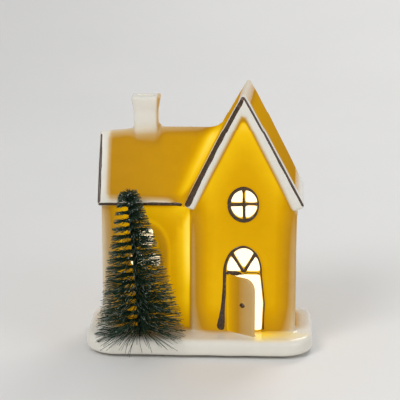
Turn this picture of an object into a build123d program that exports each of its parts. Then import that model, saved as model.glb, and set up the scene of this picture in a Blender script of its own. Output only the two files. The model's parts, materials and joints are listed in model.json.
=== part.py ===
from build123d import *
import math
import os

# A lit porcelain village house: an L-plan house on a snow base, a bottle-brush tree in front of the
# long wing, and a battery light unit that plugs into the base from below.
# Millimetres. +X is right, -Y is the front, +Z is up. The origin is on the table, under the middle of
# the part's box.

# Snow base and foot pads
BASE_WIDTH = 112.0
BASE_DEPTH = 61.0
BASE_THICK = 8.0
BASE_CORNER = 16.0
BASE_TOP_ROUND = 3.2
BASE_BOTTOM_ROUND = 2.0
PAD_RADIUS = 5.0
PAD_THICK = 1.5
PAD_INSET = 13.0

# House plan: the long main wing and the gable wing that stands forward of it
WALL = 3.0
WALL_ROUND = 2.4
HOUSE_WIDTH = 95.6
HOUSE_SHIFT = -0.5
HOUSE_BACK_GAP = 8.8
GABLE_WIDTH = 51.2
GABLE_STEP = 4.2
ROOM_MARGIN = 1.7

# Roofs, with heights above the top of the base
MAIN_EAVE_HEIGHT = 64.3
MAIN_RIDGE_HEIGHT = 99.9
MAIN_ROOF_THICK = 4.4
MAIN_EAVE_OVERHANG = 4.3
MAIN_RAKE_OVERHANG = 1.6
GABLE_EAVE_HEIGHT = 64.6
GABLE_APEX_HEIGHT = 120.7
GABLE_ROOF_THICK = 5.2
GABLE_SIDE_OVERHANG = 2.4
GABLE_FRONT_OVERHANG = 4.0
ROOF_ROUND = 1.2

# Chimney astride the main ridge
CHIMNEY_FROM_LEFT = 21.4
CHIMNEY_WIDTH = 11.9
CHIMNEY_DEPTH = 9.0
CHIMNEY_RISE = 15.0
CHIMNEY_CAP = 7.6
CHIMNEY_FLARE = 1.3
CHIMNEY_ROUND = 2.0
FLUE_WALL = 2.4
FLUE_DEPTH = 4.0

# Raised surrounds and the bars left between the pierced panes
SURROUND_RELIEF = 0.6
SURROUND_BAND = 1.6
BAR = 1.4

# Round window in the gable
ROUND_WINDOW_HEIGHT = 65.0
ROUND_WINDOW_WIDE = 12.8
ROUND_WINDOW_TALL = 14.6

# Doorway: an opening whose right side bulges halfway up, a transom, and an elliptical fanlight cut by two
# slanted bars
DOORWAY_WIDTH = 15.8
DOORWAY_HEIGHT = 29.4
DOORWAY_FLARE = 1.5
DOORWAY_FLARE_HEIGHT = 15.0
DOORWAY_FOOT_FLARE = 1.0
FANLIGHT_RISE = 12.0
FANLIGHT_BAR_ANGLE = 31.0

# Door leaf, fixed ajar
DOOR_WIDTH = 15.4
DOOR_HEIGHT = 29.0
DOOR_THICK = 2.0
DOOR_CORNER = 5.5
DOOR_JAMB_GAP = 0.1
DOOR_AJAR = 34.0
KNOB_RADIUS = 1.5
KNOB_RELIEF = 0.5
KNOB_HEIGHT = 15.2
KNOB_EDGE_GAP = 6.4

# Arched window in the main wing: one pane under the arch and two below it
ARCH_FROM_LEFT = 21.7
ARCH_SILL_HEIGHT = 24.0
ARCH_STRAIGHT = 16.0
ARCH_RISE = 14.2
ARCH_HALF_WIDTH = 11.6
ARCH_BAND = 4.2
ARCH_RELIEF = 1.0
ARCH_PANE_WIDE = 6.4
ARCH_PANE_TALL = 6.2
ARCH_PANE_BAR = 2.0
ARCH_TOP_PANE_WIDE = 7.4
ARCH_TOP_PANE_TALL = 9.2
ARCH_PANE_ROUND = 1.6
ARCH_PANES_HEIGHT = 31.6
ARCH_PANE_GAP = 4.2

# Bottle-brush tree
TREE_WALL_GAP = 11.3
TREE_FROM_LEFT = 19.3
TREE_HEIGHT = 75.0
TREE_FIRST = 3.0
TREE_RADIUS = 22.0
TREE_TOP_RADIUS = 4.2
TREE_LEAN = 4.6
TREE_DROOP = 4.0
TREE_PITCH = 7.8
TREE_LEVELS = 205
TREE_WALL_CLEAR = 0.6
STRAND_RADIUS = 0.16
STRAND_SIDES = 3
CORE_WALL = 0.4
STEM_RADIUS = 1.1
STEM_DEPTH = 6.0
STEM_CLEAR = 0.05

# Light unit: housing, seat in the base and grip ring
UNIT_FROM_LEFT = 52.9
SEAT_DEPTH = 3.2
SEAT_WIDTH = 3.0
SEAT_CLEAR = 0.4
FLANGE_THICK = 2.2
BODY_WALL = 1.2
RING_THICK = 0.95
RING_HEIGHT = 4.0
RING_CLEAR = 0.05

# Button cells, their sleeve and the bayonet cap
CELL_RADIUS = 5.8
CELL_HEIGHT = 5.4
CELL_COUNT = 3
CELL_CAP_RADIUS = 4.6
CELL_CAP_HEIGHT = 0.5
CELL_CLEAR = 0.25
SLEEVE_WALL = 1.35
CAP_THICK = 1.4
CAP_LIP = 0.85
CAP_CLEAR = 0.15
CAP_TURN = 60.0
CAP_SLOT_WIDTH = 1.3
CAP_SLOT_DEPTH = 0.7
LEDGE_THICK = 1.0
LUG_HEIGHT = 1.0
LUG_REACH = 0.6
LUG_PLAY = 0.15
LUG_ANGLE = 40.0
LUG_ENTRY_SPARE = 8.0
CONTACT_THICK = 0.3
CONTACT_RADIUS = 4.2
CONTACT_DOME_RADIUS = 1.8
CONTACT_DOME_HEIGHT = 0.5

# Board, lamp and cover
BOARD_THICK = 1.0
BOARD_CLEAR = 0.2
COVER_PLAY = 0.2
COVER_THICK = 1.4
COVER_SKIRT = 1.2
COVER_SKIRT_WALL = 0.9
COVER_CLEAR = 0.1
LED_RADIUS = 2.5
LED_FLANGE = 0.4
LED_FLANGE_HEIGHT = 1.0
LED_HEIGHT = 8.7
LED_CLEAR = 0.2
LEAD_SIDE = 0.5
LEAD_SPACING = 2.54
LEAD_LENGTH = 1.5
LEAD_CLEAR = 0.1
RESISTOR_LENGTH = 3.2
RESISTOR_WIDTH = 1.6
RESISTOR_HEIGHT = 0.6
STRIP_WIDTH = 2.0
STRIP_THICK = 0.25

# Slide switch
SWITCH_WIDTH = 3.6
SWITCH_LENGTH = 8.6
SWITCH_HEIGHT = 3.4
SWITCH_GAP = 0.9
SWITCH_FIT = 0.15
SWITCH_FLOOR = 0.8
SWITCH_TRAVEL = 2.0
KNOB_WIDE = 1.5
KNOB_LONG = 2.4
KNOB_TIP = 0.5
KNOB_CLEAR = 0.2
SHOE_SPREAD = 0.5
SHOE_HEIGHT = 0.9
TERMINAL_SIDE = 0.6
TERMINAL_LENGTH = 2.2
TERMINAL_SPACING = 2.5
WIRE_RADIUS = 0.45

# Light unit worked out from its contents: the sleeve touches the cup's outer face on one side, and the
# far corners of the switch just clear its inner face on the other.
sleeve_bore = CELL_RADIUS + CELL_CLEAR
sleeve_outer = sleeve_bore + SLEEVE_WALL
switch_far = 2 * sleeve_outer + SWITCH_GAP + SWITCH_WIDTH
corner_inset = BODY_WALL + SWITCH_FIT
body_radius = (switch_far**2 + (SWITCH_LENGTH / 2) ** 2 - corner_inset**2) / (2 * (switch_far - corner_inset))
body_bore = body_radius - BODY_WALL
ring_outer = body_radius + RING_THICK
hole_radius = ring_outer + RING_CLEAR
flange_radius = hole_radius + SEAT_WIDTH
sleeve_x = sleeve_outer - body_radius
switch_x = switch_far - SWITCH_WIDTH / 2 - body_radius
led_x = (sleeve_x + sleeve_outer + switch_far - body_radius) / 2

# Heights
top = PAD_THICK + BASE_THICK
seat_z = PAD_THICK + SEAT_DEPTH
flange_z = seat_z - FLANGE_THICK
cap_z = flange_z + CAP_THICK
groove_z = cap_z + LEDGE_THICK
groove_top = groove_z + LUG_HEIGHT + 2 * LUG_PLAY
cells_z = groove_top + CONTACT_THICK + CONTACT_DOME_HEIGHT
cells_top = cells_z + CELL_COUNT * CELL_HEIGHT
board_z = cells_top + CONTACT_THICK
board_top = board_z + BOARD_THICK
body_top = board_top + LED_FLANGE_HEIGHT + COVER_PLAY + COVER_SKIRT
main_eave_z = top + MAIN_EAVE_HEIGHT
main_ridge_z = top + MAIN_RIDGE_HEIGHT
gable_eave_z = top + GABLE_EAVE_HEIGHT
gable_apex_z = top + GABLE_APEX_HEIGHT

# Plan. The main wing is as deep as the light unit's hole needs between its walls. Depths count from the
# back edge of the base, and the whole is then centred on the origin.
main_depth = 2 * (hole_radius + ROOM_MARGIN + WALL)
stem_from_back = HOUSE_BACK_GAP + main_depth + TREE_WALL_GAP
box_depth = max(BASE_DEPTH, stem_from_back + TREE_RADIUS)
base_back = box_depth / 2
base_y = base_back - BASE_DEPTH / 2
wall_back = base_back - HOUSE_BACK_GAP
main_front = wall_back - main_depth
gable_front = main_front - GABLE_STEP
ridge_y = (main_front + wall_back) / 2
house_left = HOUSE_SHIFT - HOUSE_WIDTH / 2
house_right = HOUSE_SHIFT + HOUSE_WIDTH / 2
gable_left = house_right - GABLE_WIDTH
gable_x = house_right - GABLE_WIDTH / 2
main_half = main_depth / 2 + MAIN_EAVE_OVERHANG
gable_half = GABLE_WIDTH / 2 + GABLE_SIDE_OVERHANG
gable_roof_back = ridge_y + main_half
unit_x = house_left + UNIT_FROM_LEFT
unit_y = ridge_y
stem_x = house_left + TREE_FROM_LEFT
stem_y = main_front - TREE_WALL_GAP
tree_place = Pos(stem_x, stem_y, top) * Rot(0, -TREE_LEAN, 0)
unit_place = Pos(unit_x, unit_y, 0)


def tube(outer, inner, z, height):
    """A round tube standing on height z."""
    ring = Circle(outer) - Circle(inner)
    return extrude(Pos(0, 0, z) * ring, height)


def rod(radius, z, height):
    """A round rod standing on height z."""
    return extrude(Pos(0, 0, z) * Circle(radius), height)


def block(x, y, z, width, depth, height):
    """A box centred on x and y, standing on height z."""
    return Pos(x, y, z + height / 2) * Box(width, depth, height)


def sector(radius, middle, spread, z, height):
    """A slice of a round rod that spans an angle about a middle direction."""
    sides = [math.radians(middle + side * spread / 2) for side in (-1, 1)]
    corners = [(2 * radius * math.cos(angle), 2 * radius * math.sin(angle)) for angle in sides]
    wedge = make_face(Polyline((0, 0), *corners, close=True))
    return extrude(Pos(0, 0, z) * (Circle(radius) & wedge), height)


def along_x(face, start, end):
    """Extrude a face drawn in Y and Z from one X to another."""
    return extrude(Plane.YZ.offset(start) * face, end - start)


def along_y(face, start, end):
    """Extrude a face drawn in X and Z from one Y to another."""
    front = Plane(origin=(0, start, 0), x_dir=(1, 0, 0), z_dir=(0, -1, 0))
    return extrude(front * face, start - end)


def roof_profile(middle, half, eave, ridge, thick):
    """The cross-section of a roof of two slabs, square-cut at the eaves, with rounded corners."""
    slope = math.atan2(ridge - eave, half)
    inner_half = half - thick * math.sin(slope)
    inner_eave = eave - thick * math.cos(slope)
    inner_ridge = ridge - thick / math.cos(slope)
    corners = [
        (middle - half, eave),
        (middle, ridge),
        (middle + half, eave),
        (middle + inner_half, inner_eave),
        (middle, inner_ridge),
        (middle - inner_half, inner_eave),
    ]
    face = make_face(Polyline(*corners, close=True))
    return fillet(face.vertices(), min(ROOF_ROUND, 0.4 * thick))


def under_roof(left, right, middle, half, eave, ridge, down):
    """The space between two uprights under a roof surface that is lowered by an upright distance."""
    fall = (ridge - eave) / half
    corners = [
        (left, top),
        (left, ridge - down - fall * (middle - left)),
        (middle, ridge - down),
        (right, ridge - down - fall * (right - middle)),
        (right, top),
    ]
    return make_face(Polyline(*corners, close=True))


def upright_thickness(half, eave, ridge, thick):
    """How far a roof slab reaches straight down through its thickness."""
    return thick / math.cos(math.atan2(ridge - eave, half))


main_down = upright_thickness(main_half, main_eave_z, main_ridge_z, MAIN_ROOF_THICK)
gable_down = upright_thickness(gable_half, gable_eave_z, gable_apex_z, GABLE_ROOF_THICK)


def main_space(inset, down):
    """The main wing's upright prism, inset from its walls and lowered from its roof surface."""
    return under_roof(
        main_front + inset, wall_back - inset, ridge_y, main_half, main_eave_z, main_ridge_z, down
    )


def gable_space(inset, down):
    """The gable wing's upright prism, inset from its walls and lowered from its roof surface."""
    return under_roof(
        gable_left + inset, house_right - inset, gable_x, gable_half, gable_eave_z, gable_apex_z, down
    )


def main_room():
    return along_x(main_space(WALL, main_down), house_left + WALL, gable_x)


def gable_room():
    return along_y(gable_space(WALL, gable_down), gable_front + WALL, wall_back - WALL)


def rounded_ends(slab, axis):
    """Round the edges of a roof's two end faces."""
    radius = min(ROOF_ROUND, 0.4 * min(MAIN_ROOF_THICK, GABLE_ROOF_THICK))
    ends = slab.faces().sort_by(axis)
    return fillet(ends[0].edges() + ends[-1].edges(), radius)


def gable_roof_slab():
    profile = roof_profile(gable_x, gable_half, gable_eave_z, gable_apex_z, GABLE_ROOF_THICK)
    slab = along_y(profile, gable_front - GABLE_FRONT_OVERHANG, gable_roof_back)
    return rounded_ends(slab, Axis.Y)


def make_gable_roof():
    """The gable roof is open where the main wing's room runs into it."""
    return gable_roof_slab() - main_room()


def make_main_roof():
    """The main roof ends on the outer slope of the gable roof."""
    profile = roof_profile(ridge_y, main_half, main_eave_z, main_ridge_z, MAIN_ROOF_THICK)
    slab = rounded_ends(along_x(profile, house_left - MAIN_RAKE_OVERHANG, gable_x), Axis.X)
    fall = (gable_apex_z - gable_eave_z) / gable_half
    below = [
        (gable_x - gable_half, top),
        (gable_x - gable_half, gable_eave_z),
        (gable_x, gable_eave_z + fall * gable_half),
        (gable_x + gable_half, gable_eave_z),
        (gable_x + gable_half, top),
    ]
    gable = along_y(make_face(Polyline(*below, close=True)), gable_front - GABLE_FRONT_OVERHANG, base_back)
    return slab - gable


def make_chimney(main_roof):
    """A shaft with rounded corners and a flared cap, cut to sit astride the ridge."""
    x = house_left + CHIMNEY_FROM_LEFT
    chimney_top = main_ridge_z + CHIMNEY_RISE
    cap_z = chimney_top - CHIMNEY_CAP
    plan = RectangleRounded(CHIMNEY_WIDTH, CHIMNEY_DEPTH, CHIMNEY_ROUND)
    rim = RectangleRounded(CHIMNEY_WIDTH + 2 * CHIMNEY_FLARE, CHIMNEY_DEPTH + 2 * CHIMNEY_FLARE, CHIMNEY_ROUND)
    flue = RectangleRounded(CHIMNEY_WIDTH - 2 * FLUE_WALL, CHIMNEY_DEPTH - 2 * FLUE_WALL, CHIMNEY_ROUND / 2)
    shaft = extrude(Pos(x, ridge_y, main_eave_z) * plan, cap_z - main_eave_z)
    cap = loft([Pos(x, ridge_y, cap_z) * plan, Pos(x, ridge_y, chimney_top) * rim])
    hollow = extrude(Pos(x, ridge_y, chimney_top - FLUE_DEPTH) * flue, FLUE_DEPTH)
    return (shaft + cap - hollow - main_roof).solids().sort_by(Axis.Z)[-1]


def front_plane(x, y, z):
    """A drawing plane on a front wall, seen from the front."""
    return Plane(origin=(x, y, z), x_dir=(1, 0, 0), z_dir=(0, -1, 0))


def arch_face(half_width, straight, rise):
    """An upright opening with an elliptical arch, drawn from the middle of its foot."""
    arch = Pos(0, straight) * Ellipse(half_width, rise)
    upper = arch & (Pos(0, straight + rise / 2) * Rectangle(2 * half_width, rise))
    return upper + Pos(0, straight / 2) * Rectangle(2 * half_width, straight)


def pierce(plane, face):
    """A cutter through a front wall and its raised surround."""
    return extrude(plane * face, WALL + SURROUND_RELIEF + ARCH_RELIEF, both=True)


def raise_band(plane, face, relief):
    """A surround that stands proud of a front wall and is bedded in it."""
    return extrude(plane * face, relief) + extrude(plane * face, -WALL / 2)


round_window_plane = front_plane(gable_x, gable_front, top + ROUND_WINDOW_HEIGHT)
doorway_plane = front_plane(gable_x, gable_front, top)
arch_plane = front_plane(house_left + ARCH_FROM_LEFT, main_front, top)


def round_window():
    """The oval surround and the four panes that a cross of bars leaves."""
    wide = ROUND_WINDOW_WIDE / 2
    tall = ROUND_WINDOW_TALL / 2
    opening = Ellipse(wide, tall) if wide > tall else Rot(0, 0, 90) * Ellipse(tall, wide)
    panes = opening - Rectangle(BAR, ROUND_WINDOW_TALL) - Rectangle(ROUND_WINDOW_WIDE, BAR)
    surround = Rot(0, 0, 90) * Ellipse(tall + SURROUND_BAND, wide + SURROUND_BAND)
    return raise_band(round_window_plane, surround, SURROUND_RELIEF), pierce(round_window_plane, panes)


def doorway():
    """The arched surround, the door opening and the three panes of the fanlight."""
    half = DOORWAY_WIDTH / 2
    spring = DOORWAY_HEIGHT + BAR
    surround = arch_face(half + SURROUND_BAND, spring, FANLIGHT_RISE + SURROUND_BAND)
    corners = [
        (-half, 0),
        (half + DOORWAY_FOOT_FLARE, 0),
        (half + DOORWAY_FLARE, DOORWAY_FLARE_HEIGHT),
        (half, DOORWAY_HEIGHT),
        (-half, DOORWAY_HEIGHT),
    ]
    opening = make_face(Polyline(*corners, close=True))
    surround += Pos(SURROUND_BAND, 0) * opening
    fan = Rot(0, 0, 90) * Ellipse(FANLIGHT_RISE, half) & (
        Pos(0, FANLIGHT_RISE / 2) * Rectangle(DOORWAY_WIDTH, FANLIGHT_RISE)
    )
    for side in (-1, 1):
        fan -= Rot(0, 0, side * FANLIGHT_BAR_ANGLE) * Pos(0, FANLIGHT_RISE) * Rectangle(BAR, 2 * FANLIGHT_RISE)
    cut = pierce(doorway_plane, opening) + pierce(doorway_plane, Pos(0, spring) * fan)
    return raise_band(doorway_plane, surround, SURROUND_RELIEF), cut


def arched_window():
    """The broad raised frame of the main wing's window, with a recessed field and its panes."""
    frame = Pos(0, ARCH_SILL_HEIGHT) * arch_face(ARCH_HALF_WIDTH, ARCH_STRAIGHT, ARCH_RISE)
    field = Pos(0, ARCH_SILL_HEIGHT + ARCH_BAND) * arch_face(
        ARCH_HALF_WIDTH - ARCH_BAND, ARCH_STRAIGHT - ARCH_BAND, ARCH_RISE - ARCH_BAND
    )
    upper_z = ARCH_PANES_HEIGHT + ARCH_PANE_TALL + ARCH_PANE_GAP + ARCH_TOP_PANE_TALL / 2
    panes = Pos(0, upper_z) * RectangleRounded(ARCH_TOP_PANE_WIDE, ARCH_TOP_PANE_TALL, ARCH_PANE_ROUND)
    for side in (-1, 1):
        pane_x = side * (ARCH_PANE_WIDE + ARCH_PANE_BAR) / 2
        pane_z = ARCH_PANES_HEIGHT + ARCH_PANE_TALL / 2
        panes += Pos(pane_x, pane_z) * RectangleRounded(ARCH_PANE_WIDE, ARCH_PANE_TALL, ARCH_PANE_ROUND)
    raised = raise_band(arch_plane, frame, ARCH_RELIEF) - extrude(arch_plane * field, ARCH_RELIEF)
    return raised, pierce(arch_plane, panes)


def is_outer_corner(edge):
    """Tell whether an upright edge is one of the house's five outer corners."""
    middle = edge.center()
    at_left = abs(middle.X - house_left) < WALL / 2
    at_front = abs(middle.Y - gable_front) < WALL / 2
    at_back = abs(middle.Y - wall_back) < WALL / 2 and abs(middle.X - house_right) < WALL / 2
    return at_left or at_front or at_back


def make_walls(main_roof, gable_roof):
    """The hollow walls of both wings, up to the undersides of their roofs."""
    main = along_x(main_space(0, main_down / 2), house_left, gable_x)
    gable = along_y(gable_space(0, gable_down / 2), gable_front, wall_back)
    shell = main + gable
    shell = fillet(shell.edges().filter_by(Axis.Z).filter_by(is_outer_corner), min(WALL_ROUND, 0.8 * WALL))
    for surround, panes in (round_window(), doorway(), arched_window()):
        shell = shell + surround - panes
    shell = shell - main_room() - gable_room()
    return (shell - main_roof - gable_roof).solids().sort_by(SortBy.VOLUME)[-1]


def make_door():
    """A plain leaf with one rounded top corner and a small knob, standing ajar on the base."""
    hinge_x = gable_x - DOORWAY_WIDTH / 2 + DOOR_JAMB_GAP
    panel = Pos(DOOR_WIDTH / 2, DOOR_HEIGHT / 2) * Rectangle(DOOR_WIDTH, DOOR_HEIGHT)
    free_corner = panel.vertices().sort_by(lambda v: v.X + v.Y)[-1]
    panel = fillet(free_corner, DOOR_CORNER)
    leaf = extrude(front_plane(0, 0, 0) * panel, -DOOR_THICK)
    knob = front_plane(DOOR_WIDTH - KNOB_EDGE_GAP, 0, KNOB_HEIGHT) * Circle(KNOB_RADIUS)
    leaf += extrude(knob, KNOB_RELIEF)
    return Pos(hinge_x, gable_front, top) * Rot(0, 0, -DOOR_AJAR) * leaf


def make_base():
    """A thick oblong slab with rounded corners and rim, a seat for the light unit and the tree's hole."""
    slab = extrude(Pos(0, base_y, PAD_THICK) * RectangleRounded(BASE_WIDTH, BASE_DEPTH, BASE_CORNER), BASE_THICK)
    slab = fillet(slab.edges().group_by(Axis.Z)[-1], BASE_TOP_ROUND)
    slab = fillet(slab.edges().group_by(Axis.Z)[0], BASE_BOTTOM_ROUND)
    seat = rod(flange_radius + SEAT_CLEAR, PAD_THICK, SEAT_DEPTH)
    hole = rod(hole_radius, seat_z, top - seat_z)
    stem_hole = rod(STEM_RADIUS + STEM_CLEAR, -STEM_DEPTH, STEM_DEPTH + BASE_THICK)
    return slab - unit_place * seat - unit_place * hole - tree_place * stem_hole


def make_pads():
    """Four soft pads under the corners of the base."""
    pads = []
    for x_side in (-1, 1):
        for y_side in (-1, 1):
            x = x_side * (BASE_WIDTH / 2 - PAD_INSET)
            y = base_y + y_side * (BASE_DEPTH / 2 - PAD_INSET)
            pads.append(Pos(x, y, 0) * rod(PAD_RADIUS, 0, PAD_THICK))
    return pads


def strand_reach(height, direction):
    """How far a bristle reaches: to the cone of the tree, or to the wall behind it if that is nearer."""
    share = (height - TREE_FIRST) / (TREE_HEIGHT - TREE_FIRST)
    cone = TREE_RADIUS + (TREE_TOP_RADIUS - TREE_RADIUS) * share
    back = math.sin(direction)
    room = TREE_WALL_GAP - ARCH_RELIEF - TREE_WALL_CLEAR
    return min(cone, room / back) if back > 0 else cone


def make_bristles():
    """Pairs of bristles that wind up the stem, fused to a thin sleeve round it."""
    core_inner = STEM_RADIUS + STEM_CLEAR
    core = tube(core_inner + CORE_WALL, core_inner, TREE_FIRST - STRAND_RADIUS * 4, TREE_HEIGHT - TREE_FIRST)
    rise = (TREE_HEIGHT - TREE_FIRST - STRAND_RADIUS * 8) / TREE_LEVELS
    section = RegularPolygon(STRAND_RADIUS, STRAND_SIDES)
    droop = math.tan(math.radians(TREE_DROOP))
    strands = []
    for level in range(TREE_LEVELS):
        height = TREE_FIRST + level * rise
        turn = 2 * math.pi * level * rise / TREE_PITCH
        for side in (-1, 1):
            direction = turn + side * math.pi / 2
            reach = strand_reach(height, direction)
            start = core_inner + CORE_WALL / 2
            outward = (math.cos(direction), math.sin(direction), -droop)
            foot = (start * outward[0], start * outward[1], height - start * droop)
            length = (reach - start) * math.hypot(1, droop)
            strands.append(extrude(Plane(origin=foot, z_dir=outward) * section, length))
    return tree_place * core.fuse(*strands)


def make_housing():
    """The cup of the light unit, with its flange, the cells' sleeve, the bayonet and the switch slot."""
    flange = rod(flange_radius, flange_z, FLANGE_THICK)
    cup = tube(body_radius, body_bore, seat_z, body_top - seat_z)
    sleeve = Pos(sleeve_x, 0, 0) * rod(sleeve_outer, seat_z, board_z - seat_z)
    lug_outer = sleeve_bore + LUG_REACH + LUG_PLAY
    bayonet = rod(sleeve_bore, flange_z, board_z - flange_z)
    bayonet += rod(sleeve_bore + CAP_LIP + CAP_CLEAR, flange_z, CAP_THICK)
    bayonet += rod(lug_outer, groove_z, groove_top - groove_z)
    for side in (0, 180):
        bayonet += sector(lug_outer, side + CAP_TURN, LUG_ANGLE + LUG_ENTRY_SPARE, cap_z, LEDGE_THICK)
    slot_long = KNOB_LONG + SWITCH_TRAVEL + 2 * KNOB_CLEAR
    slot = block(switch_x, 0, flange_z, KNOB_WIDE + 2 * KNOB_CLEAR, slot_long, FLANGE_THICK)
    return unit_place * (flange + cup + sleeve - Pos(sleeve_x, 0, 0) * bayonet - slot)


def make_ring():
    """The soft band round the cup, which grips the hole in the base."""
    return unit_place * tube(ring_outer, body_radius + RING_CLEAR, seat_z, RING_HEIGHT)


def make_cap():
    """The bayonet cap: a slotted disc, a neck and two lugs."""
    disc = rod(sleeve_bore + CAP_LIP, flange_z, CAP_THICK)
    neck = rod(sleeve_bore - CAP_CLEAR, cap_z, groove_top - cap_z)
    lugs = Part()
    for side in (0, 180):
        lugs += sector(sleeve_bore + LUG_REACH, side, LUG_ANGLE, groove_z + LUG_PLAY, LUG_HEIGHT)
    slot = block(0, 0, flange_z, CAP_SLOT_WIDTH, 2 * sleeve_bore, CAP_SLOT_DEPTH)
    return unit_place * Pos(sleeve_x, 0, 0) * (disc + neck + lugs - slot)


def make_cap_contact():
    """A plate on the cap's neck with a dome that presses on the lowest cell."""
    plate = rod(CONTACT_RADIUS, groove_top, CONTACT_THICK)
    dome = extrude(
        Pos(0, 0, groove_top + CONTACT_THICK) * Circle(CONTACT_RADIUS - CONTACT_THICK),
        CONTACT_DOME_HEIGHT,
        taper=math.degrees(
            math.atan2(CONTACT_RADIUS - CONTACT_THICK - CONTACT_DOME_RADIUS, CONTACT_DOME_HEIGHT)
        ),
    )
    return unit_place * Pos(sleeve_x, 0, 0) * (plate + dome)


def make_cells():
    """A stack of button cells, each with its narrower negative cap below."""
    cells = []
    for index in range(CELL_COUNT):
        z = cells_z + index * CELL_HEIGHT
        cell = rod(CELL_CAP_RADIUS, z, CELL_CAP_HEIGHT)
        cell += rod(CELL_RADIUS, z + CELL_CAP_HEIGHT, CELL_HEIGHT - CELL_CAP_HEIGHT)
        cells.append(unit_place * Pos(sleeve_x, 0, 0) * cell)
    return cells


def make_positive_contact():
    return unit_place * Pos(sleeve_x, 0, 0) * rod(CONTACT_RADIUS, cells_top, CONTACT_THICK)


def make_negative_strip():
    """A flat strip up the outside of the sleeve, from the cup's floor to the board."""
    x = sleeve_x + sleeve_outer + STRIP_THICK / 2
    return unit_place * block(x, 0, seat_z, STRIP_THICK, STRIP_WIDTH, board_z - seat_z)


def lead_places():
    return [(led_x, side * LEAD_SPACING / 2) for side in (-1, 1)]


def make_board():
    """A round board that lies on the sleeve, with holes for the lamp's leads."""
    board = rod(body_bore - BOARD_CLEAR, board_z, BOARD_THICK)
    for x, y in lead_places():
        board -= Pos(x, y, 0) * rod(LEAD_SIDE * math.sqrt(0.5) + LEAD_CLEAR, board_z, BOARD_THICK)
    return unit_place * board


def make_lamp():
    """A round-nosed lamp with a collar at its foot."""
    shoulder = LED_HEIGHT - LED_RADIUS
    lamp = rod(LED_RADIUS, board_top, shoulder)
    lamp += rod(LED_RADIUS + LED_FLANGE, board_top, LED_FLANGE_HEIGHT)
    lamp += Pos(0, 0, board_top + shoulder) * Sphere(LED_RADIUS)
    return unit_place * Pos(led_x, 0, 0) * lamp


def make_leads():
    return [
        unit_place * block(x, y, board_z - LEAD_LENGTH, LEAD_SIDE, LEAD_SIDE, LEAD_LENGTH + BOARD_THICK)
        for x, y in lead_places()
    ]


def make_resistor():
    return unit_place * block(sleeve_x, 0, board_top, RESISTOR_LENGTH, RESISTOR_WIDTH, RESISTOR_HEIGHT)


def make_cover():
    """The lid of the cup, with a skirt inside the wall and a hole for the lamp."""
    skirt_outer = body_bore - COVER_CLEAR
    lid = rod(body_radius, body_top, COVER_THICK)
    lid += tube(skirt_outer, skirt_outer - COVER_SKIRT_WALL, body_top - COVER_SKIRT, COVER_SKIRT)
    lamp_hole = rod(LED_RADIUS + LED_CLEAR, body_top - COVER_SKIRT, COVER_SKIRT + COVER_THICK)
    return unit_place * (lid - Pos(led_x, 0, 0) * lamp_hole)


knob_wide_slot = KNOB_WIDE + 2 * KNOB_CLEAR
shoe_wide = KNOB_WIDE + 2 * SHOE_SPREAD
knob_y = -SWITCH_TRAVEL / 2


def make_switch_case():
    """The switch's case, with a slotted floor and a chamber for the knob's shoe."""
    run = KNOB_LONG + SWITCH_TRAVEL + 2 * KNOB_CLEAR
    case = block(switch_x, 0, seat_z, SWITCH_WIDTH, SWITCH_LENGTH, SWITCH_HEIGHT)
    case -= block(switch_x, 0, seat_z, knob_wide_slot, run, SWITCH_FLOOR)
    chamber = SHOE_HEIGHT + KNOB_CLEAR
    case -= block(switch_x, 0, seat_z + SWITCH_FLOOR, shoe_wide + 2 * KNOB_CLEAR, run, chamber)
    return unit_place * case


def make_knob():
    """The sliding knob: a shoe on the floor of the case and a tip through the flange."""
    tip_z = flange_z - KNOB_TIP
    shoe_z = seat_z + SWITCH_FLOOR
    knob = block(switch_x, knob_y, tip_z, KNOB_WIDE, KNOB_LONG, shoe_z - tip_z)
    knob += block(switch_x, knob_y, shoe_z, shoe_wide, KNOB_LONG, SHOE_HEIGHT)
    return unit_place * knob


def make_terminals():
    z = seat_z + SWITCH_HEIGHT
    return [
        unit_place * block(switch_x, place * TERMINAL_SPACING, z, TERMINAL_SIDE, TERMINAL_SIDE, TERMINAL_LENGTH)
        for place in (-1, 0, 1)
    ]


def make_wires():
    """Two insulated wires from the outer terminals up to the board."""
    z = seat_z + SWITCH_HEIGHT + TERMINAL_LENGTH
    return [
        unit_place * Pos(switch_x, place * TERMINAL_SPACING, 0) * rod(WIRE_RADIUS, z, board_z - z)
        for place in (-1, 1)
    ]


def make_parts():
    """Every node of the part by its name."""
    gable_roof = make_gable_roof()
    main_roof = make_main_roof()
    return {
        "snow_base": make_base(),
        "foot_pads": Compound(make_pads()),
        "house_walls": make_walls(main_roof, gable_roof),
        "main_roof": main_roof,
        "gable_roof": gable_roof,
        "chimney": make_chimney(main_roof),
        "door_leaf": make_door(),
        "tree_stem": tree_place * rod(STEM_RADIUS, -STEM_DEPTH, STEM_DEPTH + TREE_HEIGHT),
        "tree_bristles": make_bristles(),
        "light_housing": make_housing(),
        "grip_ring": make_ring(),
        "top_cover": make_cover(),
        "circuit_board": make_board(),
        "led_lamp": make_lamp(),
        "led_leads": Compound(make_leads()),
        "resistor": make_resistor(),
        "button_cells": Compound(make_cells()),
        "positive_contact": make_positive_contact(),
        "negative_strip": make_negative_strip(),
        "cap_contact": make_cap_contact(),
        "battery_cap": make_cap(),
        "switch_case": make_switch_case(),
        "switch_terminals": Compound(make_terminals()),
        "switch_wires": Compound(make_wires()),
        "switch_knob": make_knob(),
    }


os.makedirs("parts", exist_ok=True)
for node, shape in make_parts().items():
    export_step(shape, f"parts/{node}.step")
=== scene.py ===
import bmesh
import bpy
import json
import math
import numpy as np
import openvdb as vdb
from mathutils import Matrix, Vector, noise
from mathutils.bvhtree import BVHTree


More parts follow.
